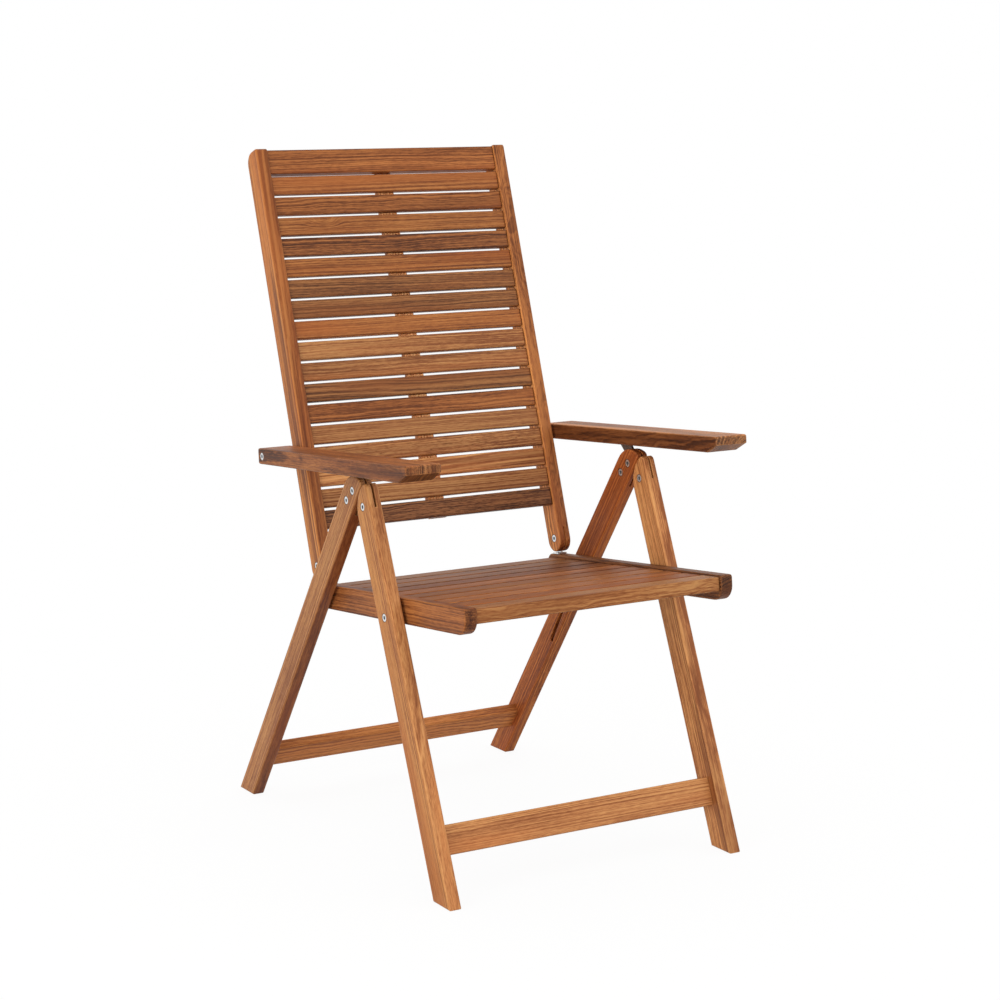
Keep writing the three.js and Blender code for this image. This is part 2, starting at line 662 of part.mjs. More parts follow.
const slatHalfLength = railInnerX - TOUCH_GAP;
const seatSlatPitch = (seatSlatSpan + SEAT_SLAT_GAP) / SEAT_SLAT_COUNT;
for (let index = 0; index < SEAT_SLAT_COUNT; index += 1) {
  const fromY = index * seatSlatPitch;
  const thickness = index === 0 ? FRONT_SLAT_THICKNESS : SEAT_SLAT_THICKNESS;
  const toY = fromY + seatSlatPitch - SEAT_SLAT_GAP;
  const geometry = slat(fromY, toY, -thickness, 0, slatHalfLength);
  addPiece(deck, `seat_slat_${String(index + 1).padStart(2, "0")}`, geometry, teak(index * 2 + 1));
}
const seatBattenTop = -SEAT_SLAT_THICKNESS - TOUCH_GAP;
const seatBatten = slat(
  seatSlatPitch,
  seatSlatSpan,
  seatBattenTop - SEAT_BATTEN_THICKNESS,
  seatBattenTop,
  SEAT_BATTEN_WIDTH / 2,
);
addPiece(deck, "seat_batten", seatBatten, teak(3));

// Back

const stileFront = -STILE_DEPTH / 2;
const stileFoot = -STILE_DEPTH / 2 - STILE_TAIL;
const hingePlace = point(0, 0);
const armPivotPlace = point(ARM_PIVOT_SETBACK, ARM_PIVOT_RISE);
const bracketSlotHalf = BRACKET_THICKNESS / 2 + TOUCH_GAP;

function stile(side) {
  const [fromX, toX] = layer(side, railInnerX, railOuterX);
  const slotMiddle = (fromX + toX) / 2;
  const outline = roundedOutline([
    [stileFront, stileFoot, STILE_DEPTH / 2, ARC_STEPS],
    [STILE_DEPTH / 2, stileFoot, STILE_DEPTH / 2, ARC_STEPS],
    [STILE_DEPTH / 2, STILE_LENGTH, STILE_CROWN_RADIUS, ARC_STEPS],
    [stileFront, STILE_LENGTH, STILE_EDGE_RADIUS * 2, CORNER_STEPS],
  ]);
  const cuts = [
    box(
      slotMiddle - bracketSlotHalf,
      slotMiddle + bracketSlotHalf,
      -STILE_DEPTH,
      STILE_DEPTH,
      -STILE_DEPTH,
      STILE_SLOT_RISE,
    ),
    ...boltHole(hingePlace, fromX, toX, true, true),
    ...boltHole(armPivotPlace, fromX, toX, side > 0, side < 0),
  ];
  return shaped(board(outline, fromX, toX, STILE_EDGE_RADIUS), cuts);
}

for (const [side, word, tone] of [[1, "left", 1], [-1, "right", 0]]) {
  const [fromX, toX] = layer(side, railInnerX, railOuterX);
  addPiece(back, `back_stile_${word}`, stile(side), teak(tone));
  addPiece(back, `back_hinge_bolt_${word}`, bolt(hingePlace, fromX, toX), steel());
}

const topRailTop = STILE_LENGTH - TOP_RAIL_DROP;
const topRailFoot = topRailTop - TOP_RAIL_HEIGHT;
const slatFront = stileFront + BACK_SLAT_RECESS;
const topRail = slat(slatFront, slatFront + TOP_RAIL_THICKNESS, topRailFoot, topRailTop, slatHalfLength);
addPiece(back, "back_top_rail", topRail, teak(2));

const backSlatPitch = (topRailFoot - BACK_SLATS_RISE) / BACK_SLAT_COUNT;
const backSlatHeight = backSlatPitch - BACK_SLAT_GAP;
for (let index = 0; index < BACK_SLAT_COUNT; index += 1) {
  const top = topRailFoot - BACK_SLAT_GAP - index * backSlatPitch;
  const rear = slatFront + BACK_SLAT_THICKNESS;
  const geometry = slat(slatFront, rear, top - backSlatHeight, top, slatHalfLength);
  addPiece(back, `back_slat_${String(index + 1).padStart(2, "0")}`, geometry, teak(index * 3 + 1));
}
const battenFront = slatFront + BACK_SLAT_THICKNESS + TOUCH_GAP;
const backBatten = slat(
  battenFront,
  battenFront + BACK_BATTEN_THICKNESS,
  BACK_SLATS_RISE,
  topRailFoot - TOUCH_GAP,
  BACK_BATTEN_WIDTH / 2,
);
addPiece(back, "back_batten", backBatten, teak(2));

// Armrests

// Highest that the rest pin comes in the armrest while the chair folds or reclines.
function restPinCrest() {
  let crest = restPinInArm(0, 0).y;
  for (let step = 0; step <= GROOVE_STEPS; step += 1) {
    crest = Math.max(crest, restPinInArm((foldAngle * step) / GROOVE_STEPS, 0).y);
    crest = Math.max(crest, restPinInArm(0, (RECLINE_RANGE * step) / GROOVE_STEPS).y);
  }
  return crest;
}

const toothTip = restPinCrest() + REST_PIN_RADIUS + TOOTH_CLEARANCE;
const armInnerX = legInnerX;
const armOuterX = armInnerX + ARM_WIDTH;

// The rack: a channel in the underside whose roof has one notch for each position.
function rackOutline() {
  const plateHalf = PLATE_HALF_WIDTH / Math.cos(radians(ARM_SLOPE + REAR_LEG_LEAN));
  const endGap = plateHalf + RACK_END_GAP;
  const below = -ARM_THICKNESS / 2 - CUT_OVERRUN;
  const rear = restPinInArm(0, 0).x + endGap;
  const front = restPinInArm(0, RECLINE_RANGE).x - endGap;
  const outline = [point(front, toothTip), point(front, below), point(rear, below), point(rear, toothTip)];
  for (let index = 0; index < NOTCH_COUNT; index += 1) {
    const middle = restPinInArm(0, (RECLINE_RANGE * index) / (NOTCH_COUNT - 1)).x;
    outline.push(point(middle + NOTCH_WIDTH / 2, toothTip));
    outline.push(point(middle + NOTCH_WIDTH / 2, toothTip + NOTCH_DEPTH));
    outline.push(point(middle - NOTCH_WIDTH / 2, toothTip + NOTCH_DEPTH));
    outline.push(point(middle - NOTCH_WIDTH / 2, toothTip));
  }
  return outline;
}

function armrest(side) {
  const [fromX, toX] = layer(side, armInnerX, armOuterX);
  const tightCorner = ARM_EDGE_RADIUS * 1.5;
  const outline = roundedOutline([
    [-ARM_FRONT_REACH + ARM_BEVEL_LENGTH, -ARM_THICKNESS / 2, 0, 0],
    [ARM_REAR_REACH, -ARM_THICKNESS / 2, tightCorner, CORNER_STEPS],
    [ARM_REAR_REACH, ARM_THICKNESS / 2, tightCorner, CORNER_STEPS],
    [-ARM_FRONT_REACH, ARM_THICKNESS / 2, tightCorner, CORNER_STEPS],
    [-ARM_FRONT_REACH, ARM_THICKNESS / 2 - ARM_NOSE_HEIGHT, 0, 0],
  ]);
  const rackFrom = side * legMiddleX - RACK_WIDTH / 2;
  const cuts = [
    board(rackOutline(), rackFrom, rackFrom + RACK_WIDTH, 0),
    ...boltHole(point(0, 0), fromX, toX, side < 0, side > 0),
  ];
  return shaped(board(outline, fromX, toX, ARM_EDGE_RADIUS), cuts);
}

// A loose washer between the stile and the armrest.
function armWasher(side) {
  const [fromX, toX] = layer(side, railOuterX + TOUCH_GAP, armInnerX - TOUCH_GAP);
  const hole = rod(point(0, 0), boreRadius, fromX - CUT_OVERRUN, toX + CUT_OVERRUN);
  return shaped(rod(point(0, 0), SPACER_RADIUS, fromX, toX), [hole]);
}

for (const [side, word, tone] of [[1, "left", 3], [-1, "right", 2]]) {
  const [fromX, toX] = layer(side, railInnerX, armOuterX);
  addPiece(arms, `armrest_${word}`, armrest(side), teak(tone));
  addPiece(arms, `arm_washer_${word}`, armWasher(side), steel());
  addPiece(arms, `arm_bolt_${word}`, bolt(point(0, 0), fromX, toX), steel());
}

// The origin is the middle of the chair's box, at floor level.
chair.updateMatrixWorld(true);
const middle = new THREE.Box3().setFromObject(chair, true).getCenter(new THREE.Vector3());
chair.position.y = -middle.y;
chair.updateMatrixWorld(true);

export default chair;
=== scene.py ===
# %% [markdown]
# # A folding teak armchair
# The chair stands open in a white studio. Its solids are already modelled and measured: legs, seat,
# back, armrests and bolts. This lesson gives those solids the looks of oiled teak and zinc-plated
# steel, adds the small screws that hold the battens, and sets up the light, the floor and the camera
# of a catalogue picture.
#
# The solids are loaded as a fixed frame. Nothing that is loaded gets moved, because its place is
# exact.

# %% Load the chair's solids
import math
import random

import bmesh
import bpy
import numpy as np
from mathutils import Matrix, Vector


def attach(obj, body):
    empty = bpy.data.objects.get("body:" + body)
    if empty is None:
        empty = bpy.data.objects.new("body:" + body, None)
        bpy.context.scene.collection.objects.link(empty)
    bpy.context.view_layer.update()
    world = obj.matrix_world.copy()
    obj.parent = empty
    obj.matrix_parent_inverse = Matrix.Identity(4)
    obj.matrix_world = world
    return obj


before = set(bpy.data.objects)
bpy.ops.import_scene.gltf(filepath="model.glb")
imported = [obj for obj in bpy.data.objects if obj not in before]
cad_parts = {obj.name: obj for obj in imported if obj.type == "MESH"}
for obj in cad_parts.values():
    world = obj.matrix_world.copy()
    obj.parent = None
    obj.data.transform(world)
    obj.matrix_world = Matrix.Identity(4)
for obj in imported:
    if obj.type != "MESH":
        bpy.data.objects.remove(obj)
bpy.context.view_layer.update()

# %% [markdown]
# ## The camera
# A product picture is taken from further off with a long lens, so that the legs stay nearly
# parallel. The camera stands in front of the chair on the sitter's right, about as high as the
# chair's top, and looks from 3.56 m at a point near the chair's middle, with an 82 mm lens. It
# could be aimed with a constraint, but a plain matrix keeps the aim readable and fixed: the camera
# looks along its own -Z, its X points to the right of the picture and its Y points up. The real
# camera was tilted by less than one degree and its picture was cut a little off centre, and the
# same tilt and shift are used here.

# %% Aim the camera
CAMERA_AZIMUTH = math.radians(-29.867)
CAMERA_ELEVATION = math.radians(9.387)
CAMERA_ROLL = math.radians(-0.776)
CAMERA_DISTANCE = 3.5572
CAMERA_TARGET = Vector((-0.03165, -0.13980, 0.54666))
SENSOR_WIDTH = 36.0
LENS_LENGTH = 82.43
LENS_SHIFT_X = -0.00077
LENS_SHIFT_Y = 0.00534

towards_camera = Vector((
    math.sin(CAMERA_AZIMUTH) * math.cos(CAMERA_ELEVATION),
    -math.cos(CAMERA_AZIMUTH) * math.cos(CAMERA_ELEVATION),
    math.sin(CAMERA_ELEVATION),
))
level_right = (-towards_camera).cross(Vector((0, 0, 1))).normalized()
level_up = level_right.cross(-towards_camera)
picture_right = math.cos(CAMERA_ROLL) * level_right + math.sin(CAMERA_ROLL) * level_up
picture_up = math.cos(CAMERA_ROLL) * level_up - math.sin(CAMERA_ROLL) * level_right

lens = bpy.data.cameras.new("catalogue_camera")
lens.sensor_width = SENSOR_WIDTH
lens.lens = LENS_LENGTH
lens.shift_x = LENS_SHIFT_X
lens.shift_y = LENS_SHIFT_Y
camera = bpy.data.objects.new("catalogue_camera", lens)
bpy.context.scene.collection.objects.link(camera)
turn = Matrix((picture_right, picture_up, towards_camera)).transposed().to_4x4()
camera.matrix_world = Matrix.Translation(CAMERA_TARGET + CAMERA_DISTANCE * towards_camera) @ turn
bpy.context.scene.camera = camera
print("camera at", [round(value, 3) for value in camera.matrix_world.translation])

# %% [markdown]
# ## A small kit for shader nodes
# Every finish in this lesson is a tree of shader nodes. The nodes could be added by hand in the
# shader editor; in code each one takes three or four lines, so a small class holds the tree and
# adds a node in one line. A value that is another node's output is linked, and any other value is
# written on the socket.

# %% The node kit
class Recipe:
    """The node tree of one finish."""

    def __init__(self, tree):
        self.tree = tree
        tree.nodes.clear()

    def add(self, kind, label, inputs, **settings):
        """Adds a node. inputs: values or outputs by socket name or number."""
        made = self.tree.nodes.new(kind)
        made.label = label
        for name, value in settings.items():
            setattr(made, name, value)
        for name, value in inputs.items():
            if isinstance(value, bpy.types.NodeSocket):
                self.tree.links.new(value, made.inputs[name])
            else:
                made.inputs[name].default_value = value
        return made

    def maths(self, operation, *values):
        """One sum on numbers."""
        inputs = dict(enumerate(values))
        return self.add("ShaderNodeMath", operation.lower(), inputs, operation=operation).outputs[0]

    def vector(self, operation, *values):
        """One sum on vectors. A dot product and a length come out as a number."""
        inputs = dict(enumerate(values))
        made = self.add("ShaderNodeVectorMath", operation.lower(), inputs, operation=operation)
        return made.outputs["Value" if operation in ("DOT_PRODUCT", "LENGTH") else "Vector"]

    def between(self, value, low, high, at_low=0.0, at_high=1.0):
        """A soft step: at_low up to low, at_high from high on."""
        inputs = {"Value": value, "From Min": low, "From Max": high, "To Min": at_low, "To Max": at_high}
        made = self.add("ShaderNodeMapRange", "soft step", inputs, interpolation_type="SMOOTHSTEP")
        return made.outputs[0]

    def mixed(self, amount, first, second):
        """Two colours mixed."""
        inputs = {0: amount, 6: first, 7: second}
        return self.add("ShaderNodeMix", "mixed colours", inputs, data_type="RGBA").outputs[2]

    def toned(self, amount, colour, tone):
        """A colour multiplied by a tone where the amount is 1, and left alone where it is 0."""
        return self.mixed(amount, colour, self.vector("MULTIPLY", colour, tone))

    def ramp(self, value, stops):
        """A row of colours: (place, colour) pairs from low to high."""
        made = self.add("ShaderNodeValToRGB", "row of colours", {0: value})
        row = made.color_ramp.elements
        for place, colour in stops[1:-1]:
            row.new(place).color = colour
        row[0].position, row[0].color = stops[0]
        row[-1].position, row[-1].color = stops[-1]
        return made.outputs[0]

    def noise(self, place, stretch, detail, roughness=0.5):
        """Cloudy noise from 0 to 1. stretch: how many clouds to a metre along X, Y and Z."""
        scaled = self.vector("MULTIPLY", place, stretch)
        inputs = {"Vector": scaled, "Scale": 1.0, "Detail": detail, "Roughness": roughness}
        return self.add("ShaderNodeTexNoise", "noise", inputs).outputs["Fac"]

    def off_axis(self, place, axis):
        """Distance from a bolt's axis. Every bolt of the chair lies along X."""
        across = self.vector("MULTIPLY", self.vector("SUBTRACT", place, axis), (0.0, 1.0, 1.0))
        return self.vector("LENGTH", across)

    def finish(self, shader):
        """Puts the shader on the surface."""
        self.add("ShaderNodeOutputMaterial", "surface", {"Surface": shader.outputs[0]})


def srgb(code, strength=1.0):
    """A colour written as six hexadecimal digits, as the shader's linear values."""
    parts = [int(code[place:place + 2], 16) / 255 for place in (0, 2, 4)]
    linear = [part / 12.92 if part < 0.04045 else ((part + 0.055) / 1.055) ** 2.4 for part in parts]
    return tuple(part * strength for part in linear) + (1.0,)


print("a mid brown is", [round(value, 3) for value in srgb("a5673f")])

# %% [markdown]
# ## The studio
# The picture has a pure white ground. It could be made by lighting a white cove until it burns out,
# but then the wood would burn out as well. Here the floor and the sky show white to the camera by
# themselves, and the lamps only have to light the chair. Steel mirrors the same white that the
# camera sees.
#
# Round the chair the floor mixes in a share of real paint, which keeps a soft shadow under the
# feet. The share fades out further off, so that no edge or horizon shows.

# %% What shows as white
WHITE = (1.0, 1.0, 1.0, 1.0)


def seen_white(recipe):
    """1 for what the camera sees directly, in a mirror or through glass; 0 for what lights the chair."""
    path = recipe.tree.nodes.new("ShaderNodeLightPath")
    mirror = recipe.maths("MAXIMUM", path.outputs["Is Camera Ray"], path.outputs["Is Glossy Ray"])
    return recipe.maths("MAXIMUM", mirror, path.outputs["Is Transmission Ray"])


print("white is", WHITE)

# %% The floor
FLOOR_SIZE = 30.0
SHADOW_SHARE = 0.07
SHADOW_NEAR = 0.45
SHADOW_FAR = 1.5
FLOOR_BOUNCE = (0.5, 0.5, 0.5, 1.0)

floor_paint = bpy.data.materials.new("white_floor_paint")
floor_paint.use_nodes = True
recipe = Recipe(floor_paint.node_tree)
seen = seen_white(recipe)
spot = recipe.tree.nodes.new("ShaderNodeTexCoord").outputs["Object"]
from_chair = recipe.vector("LENGTH", spot)
real_share = recipe.between(from_chair, SHADOW_NEAR, SHADOW_FAR, SHADOW_SHARE, 0.0)
tone = recipe.mixed(seen, FLOOR_BOUNCE, WHITE)
paint = recipe.add("ShaderNodeBsdfDiffuse", "paint", {"Color": tone})
glow = recipe.add("ShaderNodeEmission", "white ground", {"Color": WHITE, "Strength": 1.0})
white_share = recipe.maths("MULTIPLY", seen, recipe.maths("SUBTRACT", 1.0, real_share))
parts_of_floor = {0: white_share, 1: paint.outputs[0], 2: glow.outputs[0]}
recipe.finish(recipe.add("ShaderNodeMixShader", "floor", parts_of_floor))

bpy.ops.object.select_all(action="DESELECT")
bpy.ops.mesh.primitive_plane_add(size=FLOOR_SIZE, location=(0, 0, 0))
floor = bpy.context.object
floor.name = "studio_floor"
floor.data.materials.append(floor_paint)
print("the floor is", FLOOR_SIZE, "m wide")

# %% The sky
SKY_TINT = (1.0, 0.99, 0.975, 1.0)
SKY_LIGHT = 0.97

world = bpy.data.worlds.new("white_studio")
bpy.context.scene.world = world
world.use_nodes = True
recipe = Recipe(world.node_tree)
soft_sky = recipe.add("ShaderNodeBackground", "soft light", {"Color": SKY_TINT, "Strength": SKY_LIGHT})
white_sky = recipe.add("ShaderNodeBackground", "white ground", {"Color": WHITE, "Strength": 1.0})
parts_of_sky = {0: seen_white(recipe), 1: soft_sky.outputs[0], 2: white_sky.outputs[0]}
sky = recipe.add("ShaderNodeMixShader", "sky", parts_of_sky)
recipe.add("ShaderNodeOutputWorld", "sky", {"Surface": sky.outputs[0]})

bpy.context.scene.view_settings.view_transform = "Standard"
print("the sky lights the chair with a strength of", SKY_LIGHT)

# %% [markdown]
# ## The lamps
# The chair stands in a light tent: most of the light comes from all sides at once. One large soft
# box, low on the camera's left, makes the faces that look its way the brightest. A weak one in
# front lifts the faces of the slats, and a weaker one on the right keeps the fronts from going
# flat. Sky and lamps together give a white card about its own tone, so that a colour renders as it
# is written.

# %% Soft boxes
CHAIR_MIDDLE = Vector((0.0, 0.0, 0.5))
# Place, width and power of each.
SOFT_BOXES = {
    "left_soft_box": ((-3.0, -1.2, 0.7), 1.6, 30),
    "right_soft_box": ((2.6, -2.4, 1.6), 2.0, 9),
    "front_soft_box": ((-0.8, -3.4, 0.7), 1.6, 13),
}


def soft_box(name, place, size, power):
    """An area lamp at a place, turned to the middle of the chair."""
    lamp = bpy.data.lights.new(name, "AREA")
    lamp.shape = "SQUARE"
    lamp.size = size
    lamp.energy = power
    made = bpy.data.objects.new(name, lamp)
    bpy.context.scene.collection.objects.link(made)
    aim = (CHAIR_MIDDLE - Vector(place)).to_track_quat("-Z", "Y")
    made.matrix_world = Matrix.Translation(place) @ aim.to_matrix().to_4x4()


for name, (place, size, power) in SOFT_BOXES.items():
    soft_box(name, place, size, power)

# %% [markdown]
# ## Oiled teak
# Teak is brown with darker growth lines that run nearly straight along each board. On the real
# chair every board is cut from another plank, so that one slat is honey brown and its neighbour is
# dark as walnut, and the lines wave in some boards and run straight in others. End grain is darker,
# because it soaks up more oil. The edges of legs, rails and armrests are a little lighter, partly
# where sanding and handling have rubbed them and partly as a painted highlight, and the edges of
# the slats get a painted shade line.
#
# A picture of wood could be wrapped round each board, but it would stretch at the ends and repeat.
# Wood is a solid thing, so the pattern here is solid too: each board is a slice out of a log. First
# the log is laid along the board.

# %% Lay the log along the board
def board_frame(board):
    """Middle and long direction of a board, the turn that lays it along X, and its size laid down."""
    corners = np.array([vertex.co for vertex in board.data.vertices])
    middle = Vector((corners.min(0) + corners.max(0)) / 2)
    along = Vector(np.linalg.svd(corners - corners.mean(0), full_matrices=False)[2][0])
    if max(along, key=abs) < 0:
        along = -along
    lay = along.to_track_quat("X", "Z").inverted()
    laid = np.array([lay @ (Vector(corner) - middle) for corner in corners])
    return middle, along, lay, laid.max(0) - laid.min(0)


middle, along, lay, size = board_frame(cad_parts["rear_leg_left"])
print("a rear leg runs along", [round(value, 3) for value in along])

# %% [markdown]
# ## Growth rings
# A ring is a layer at one distance from the heart of the log. The heart lies some centimetres
# outside the board, in the direction of the board's width, because such boards are sawn so that the
# lines run straight on the broad face. Two slow noises push the rings to and fro along the board,
# which makes them wander and ripple, and near a knot they swell out round it.
#
# The rings themselves could be a sine wave, but then all would be alike: a noise along one axis
# gives wide and narrow, weak and strong ones. Where a second noise of this kind crosses its middle
# value, it draws the thin dark veins of heartwood.

# %% Parts of the rings
RING_ROUGHNESS = 0.65
SWING_DETAIL = 2.0


def swinging(recipe, place, stretch, reach):
    """Slow noise that swings by a reach, in metres, to both sides of zero."""
    noise = recipe.noise(place, stretch, SWING_DETAIL)
    return recipe.maths("MULTIPLY_ADD", noise, reach * 2, -reach)


def ring_layers(recipe, radius, spacing, detail):
    """Uneven layers along the radius of the log, from 0 to 1."""
    spaced = recipe.maths("DIVIDE", radius, spacing)
    inputs = {"W": spaced, "Scale": 1.0, "Detail": detail, "Roughness": RING_ROUGHNESS}
    return recipe.add("ShaderNodeTexNoise", "layers", inputs, noise_dimensions="1D").outputs["Fac"]


print("the rings have a roughness of", RING_ROUGHNESS)

# %% Rings, veins and knots
HEART_NEAR, HEART_FAR = 0.035, 0.10
HEART_SWING = 0.45
SLOPE = 0.018
WANDER = (2.4, 8, 8)
RIPPLE = (15, 30, 30)
RIPPLE_SHARE = 0.35
RING_DETAIL = 3.0
VEIN_DETAIL = 1.0
VEIN_SPACING = 2.8
VEIN_WIDTH = 0.035
KNOT_SWELL = 0.011


def rings_and_veins(recipe, grain, loose, size, figure, chance, knot):
    """Two patterns from 0 to 1 that follow the growth rings, and the distance from the knot."""
    across = math.pi / 2 if size[2] >= size[1] else 0.0
    heart_turn = across + chance.choice((0, math.pi)) + chance.uniform(-HEART_SWING, HEART_SWING)
    heart = chance.uniform(HEART_NEAR, HEART_FAR)
    lean = chance.uniform(-SLOPE, SLOPE)

    wander = swinging(recipe, loose, WANDER, figure["waves"])
    ripple = swinging(recipe, loose, RIPPLE, figure["waves"] * RIPPLE_SHARE)
    from_knot = recipe.vector("MULTIPLY", recipe.vector("SUBTRACT", grain, knot[:3]), knot[3:])
    knot_far = recipe.vector("LENGTH", from_knot)
    swell = recipe.between(knot_far, 0.0, 1.0, KNOT_SWELL, 0.0)
    drift = recipe.maths("ADD", recipe.maths("ADD", wander, ripple), swell)

    parts = recipe.add("ShaderNodeSeparateXYZ", "parts", {0: grain}).outputs
    ring_y = recipe.maths("MULTIPLY_ADD", parts[0], lean, heart * math.cos(heart_turn))
    ring_z = recipe.maths("MULTIPLY_ADD", parts[0], -lean, heart * math.sin(heart_turn))
    ring_y = recipe.maths("ADD", recipe.maths("ADD", parts[1], ring_y), drift)
    ring_z = recipe.maths("ADD", recipe.maths("ADD", parts[2], ring_z), drift)
    square = recipe.maths("MULTIPLY_ADD", ring_z, ring_z, recipe.maths("MULTIPLY", ring_y, ring_y))
    radius = recipe.maths("SQRT", square)

    rings = ring_layers(recipe, radius, figure["ring"], RING_DETAIL)
    slow_rings = ring_layers(recipe, radius, figure["ring"] * VEIN_SPACING, VEIN_DETAIL)
    from_middle = recipe.maths("ABSOLUTE", recipe.maths("SUBTRACT", slow_rings, 0.5))
    return rings, recipe.between(from_middle, 0.0, VEIN_WIDTH, 1.0, 0.0), knot_far


print("the heart is between", HEART_NEAR, "and", HEART_FAR, "m from the middle of a board")

# %% [markdown]
# ## Colours and figures of the planks
# Each kind of plank has three colours: the dark of its growth lines, its body, and the light
# streaks between the lines. They are brown, never orange: as light, their green is about a third
# of their red, and their blue about a tenth. A figure says how the lines run and how strong the
# marks of the wood are.

# %% Seven kinds of plank
PLANKS = {
    "straw": ("8d512b", "bd7c49", "d79a5f"),
    "honey": ("794222", "ac6734", "c68146"),
    "amber": ("74391b", "a75b2d", "c4753c"),
    "chestnut": ("683719", "9d5c2f", "b9743d"),
    "hazel": ("5e371e", "935c33", "af7645"),
    "walnut": ("4b2815", "844d28", "a66a3a"),
    "umber": ("3d2114", "6f4327", "925f3a"),
}
print(len(PLANKS), "kinds of plank")

# %% Five figures
# How far the lines wander and how wide the rings are, both in metres; how strong contrast, veins,
# pores, dark bands and grit are; and how many bands fit in a metre across the board.
TRAITS = ("waves", "ring", "contrast", "veins", "pores", "bands", "grit", "bands_per_metre")
FIGURE_ROWS = {
    "plain": (0.0030, 0.0024, 1.10, 0.20, 0.30, 0.12, 0.60, 34),
    "straight": (0.0045, 0.0027, 1.40, 0.45, 0.35, 0.30, 0.62, 34),
    "waving": (0.0110, 0.0032, 1.45, 0.55, 0.35, 0.45, 0.62, 34),
    "banded": (0.0090, 0.0040, 1.50, 0.50, 0.30, 0.95, 0.45, 52),
    "porous": (0.0070, 0.0028, 1.55, 0.40, 0.95, 0.40, 0.75, 34),
}
FIGURES = {name: dict(zip(TRAITS, row)) for name, row in FIGURE_ROWS.items()}
print("figures:", list(FIGURES))

# %% [markdown]
# ## The body of the wood
# The rings are only one layer. Finer fibres run along the board in streaks of a millimetre or two,
# clouds of colour drift over a hand's breadth, and short dark pores are the open vessels of the
# wood. All of them are stretched noise: the longer the streak, the fewer clouds to a metre along X.
# Their weighted sum picks a colour from the plank's row. Red patches, dark bands, broken veins,
# pores and the knot are then laid over it one after the other.

# %% Noises of the wood
# Clouds to a metre along, across and through the board, detail and roughness.
FIBRES = ((6, 480, 480), 4.0, 0.65)
CLOUDS = ((3.2, 24, 24), 3.0, 0.6)
GRIT = ((75, 800, 800), 2.0, 0.6)
# Clouds to a metre, detail, and the two values of the noise between which a patch fades in.
RED_PATCHES = ((1.9, 26, 26), 1.0, 0.48, 0.72)
BROKEN_VEINS = ((5, 60, 60), 1.0, 0.36, 0.60)
PORES = ((75, 1100, 1100), 1.0, 0.60, 0.72)
BANDS_ALONG, BAND_DETAIL, BAND_LOW, BAND_HIGH = 1.6, 2.0, 0.50, 0.64


def patches(recipe, place, kind, strength, ground=0.0):
    """Patches of a strength where a noise is high, on a ground where it is low."""
    stretch, detail, low, high = kind
    return recipe.between(recipe.noise(place, stretch, detail), low, high, ground, strength)


print("there are", BANDS_ALONG, "dark bands to a metre along a board")

# %% Wood colour
RING_WEIGHT, FIBRE_WEIGHT, CLOUD_WEIGHT = 0.95, 0.80, 0.55
ROW_DARK, ROW_BODY, ROW_LIGHT = 0.24, 0.5, 0.76
RED_TINT = (1.05, 0.84, 0.68, 1)
RED_STRENGTH = 0.5
BAND_TONE = (0.56, 0.50, 0.47)
PORE_TONE = (0.6, 0.6, 0.6, 1)
KNOT_HEART, KNOT_STRENGTH = 0.45, 0.75


def wood_colour(recipe, grain, loose, size, plank, strength, figure, chance, knot):
    """Colour of the wood, and the fibres, rings and pores that its relief is made from."""
    dark, body, light = (srgb(code, strength) for code in PLANKS[plank])
    rings, veins, knot_far = rings_and_veins(recipe, grain, loose, size, figure, chance, knot)
    fibres, clouds, grit = (recipe.noise(loose, *kind) for kind in (FIBRES, CLOUDS, GRIT))
    layers = (
        (rings, RING_WEIGHT),
        (fibres, FIBRE_WEIGHT),
        (clouds, CLOUD_WEIGHT),
        (grit, figure["grit"]),
    )
    shade = 0.5 - 0.5 * figure["contrast"] * sum(weight for layer, weight in layers)
    for layer, weight in layers:
        shade = recipe.maths("MULTIPLY_ADD", layer, weight * figure["contrast"], shade)
    colour = recipe.ramp(shade, ((ROW_DARK, dark), (ROW_BODY, body), (ROW_LIGHT, light)))

    red = tuple(part * tint for part, tint in zip(body, RED_TINT))
    colour = recipe.mixed(patches(recipe, loose, RED_PATCHES, RED_STRENGTH), colour, red)
    band_stretch = (BANDS_ALONG, figure["bands_per_metre"], figure["bands_per_metre"])
    bands = patches(recipe, loose, (band_stretch, BAND_DETAIL, BAND_LOW, BAND_HIGH), figure["bands"])
    colour = recipe.toned(bands, colour, BAND_TONE)
    broken = patches(recipe, loose, BROKEN_VEINS, figure["veins"])
    colour = recipe.mixed(recipe.maths("MULTIPLY", veins, broken), colour, dark)
    pores = patches(recipe, loose, PORES, figure["pores"])
    colour = recipe.mixed(pores, colour, tuple(part * tone for part, tone in zip(dark, PORE_TONE)))
    heart_of_knot = recipe.between(knot_far, 0.0, KNOT_HEART, KNOT_STRENGTH, 0.0)
    return recipe.mixed(heart_of_knot, colour, dark), fibres, rings, pores


print("the weights of rings, fibres and clouds:", RING_WEIGHT, FIBRE_WEIGHT, CLOUD_WEIGHT)
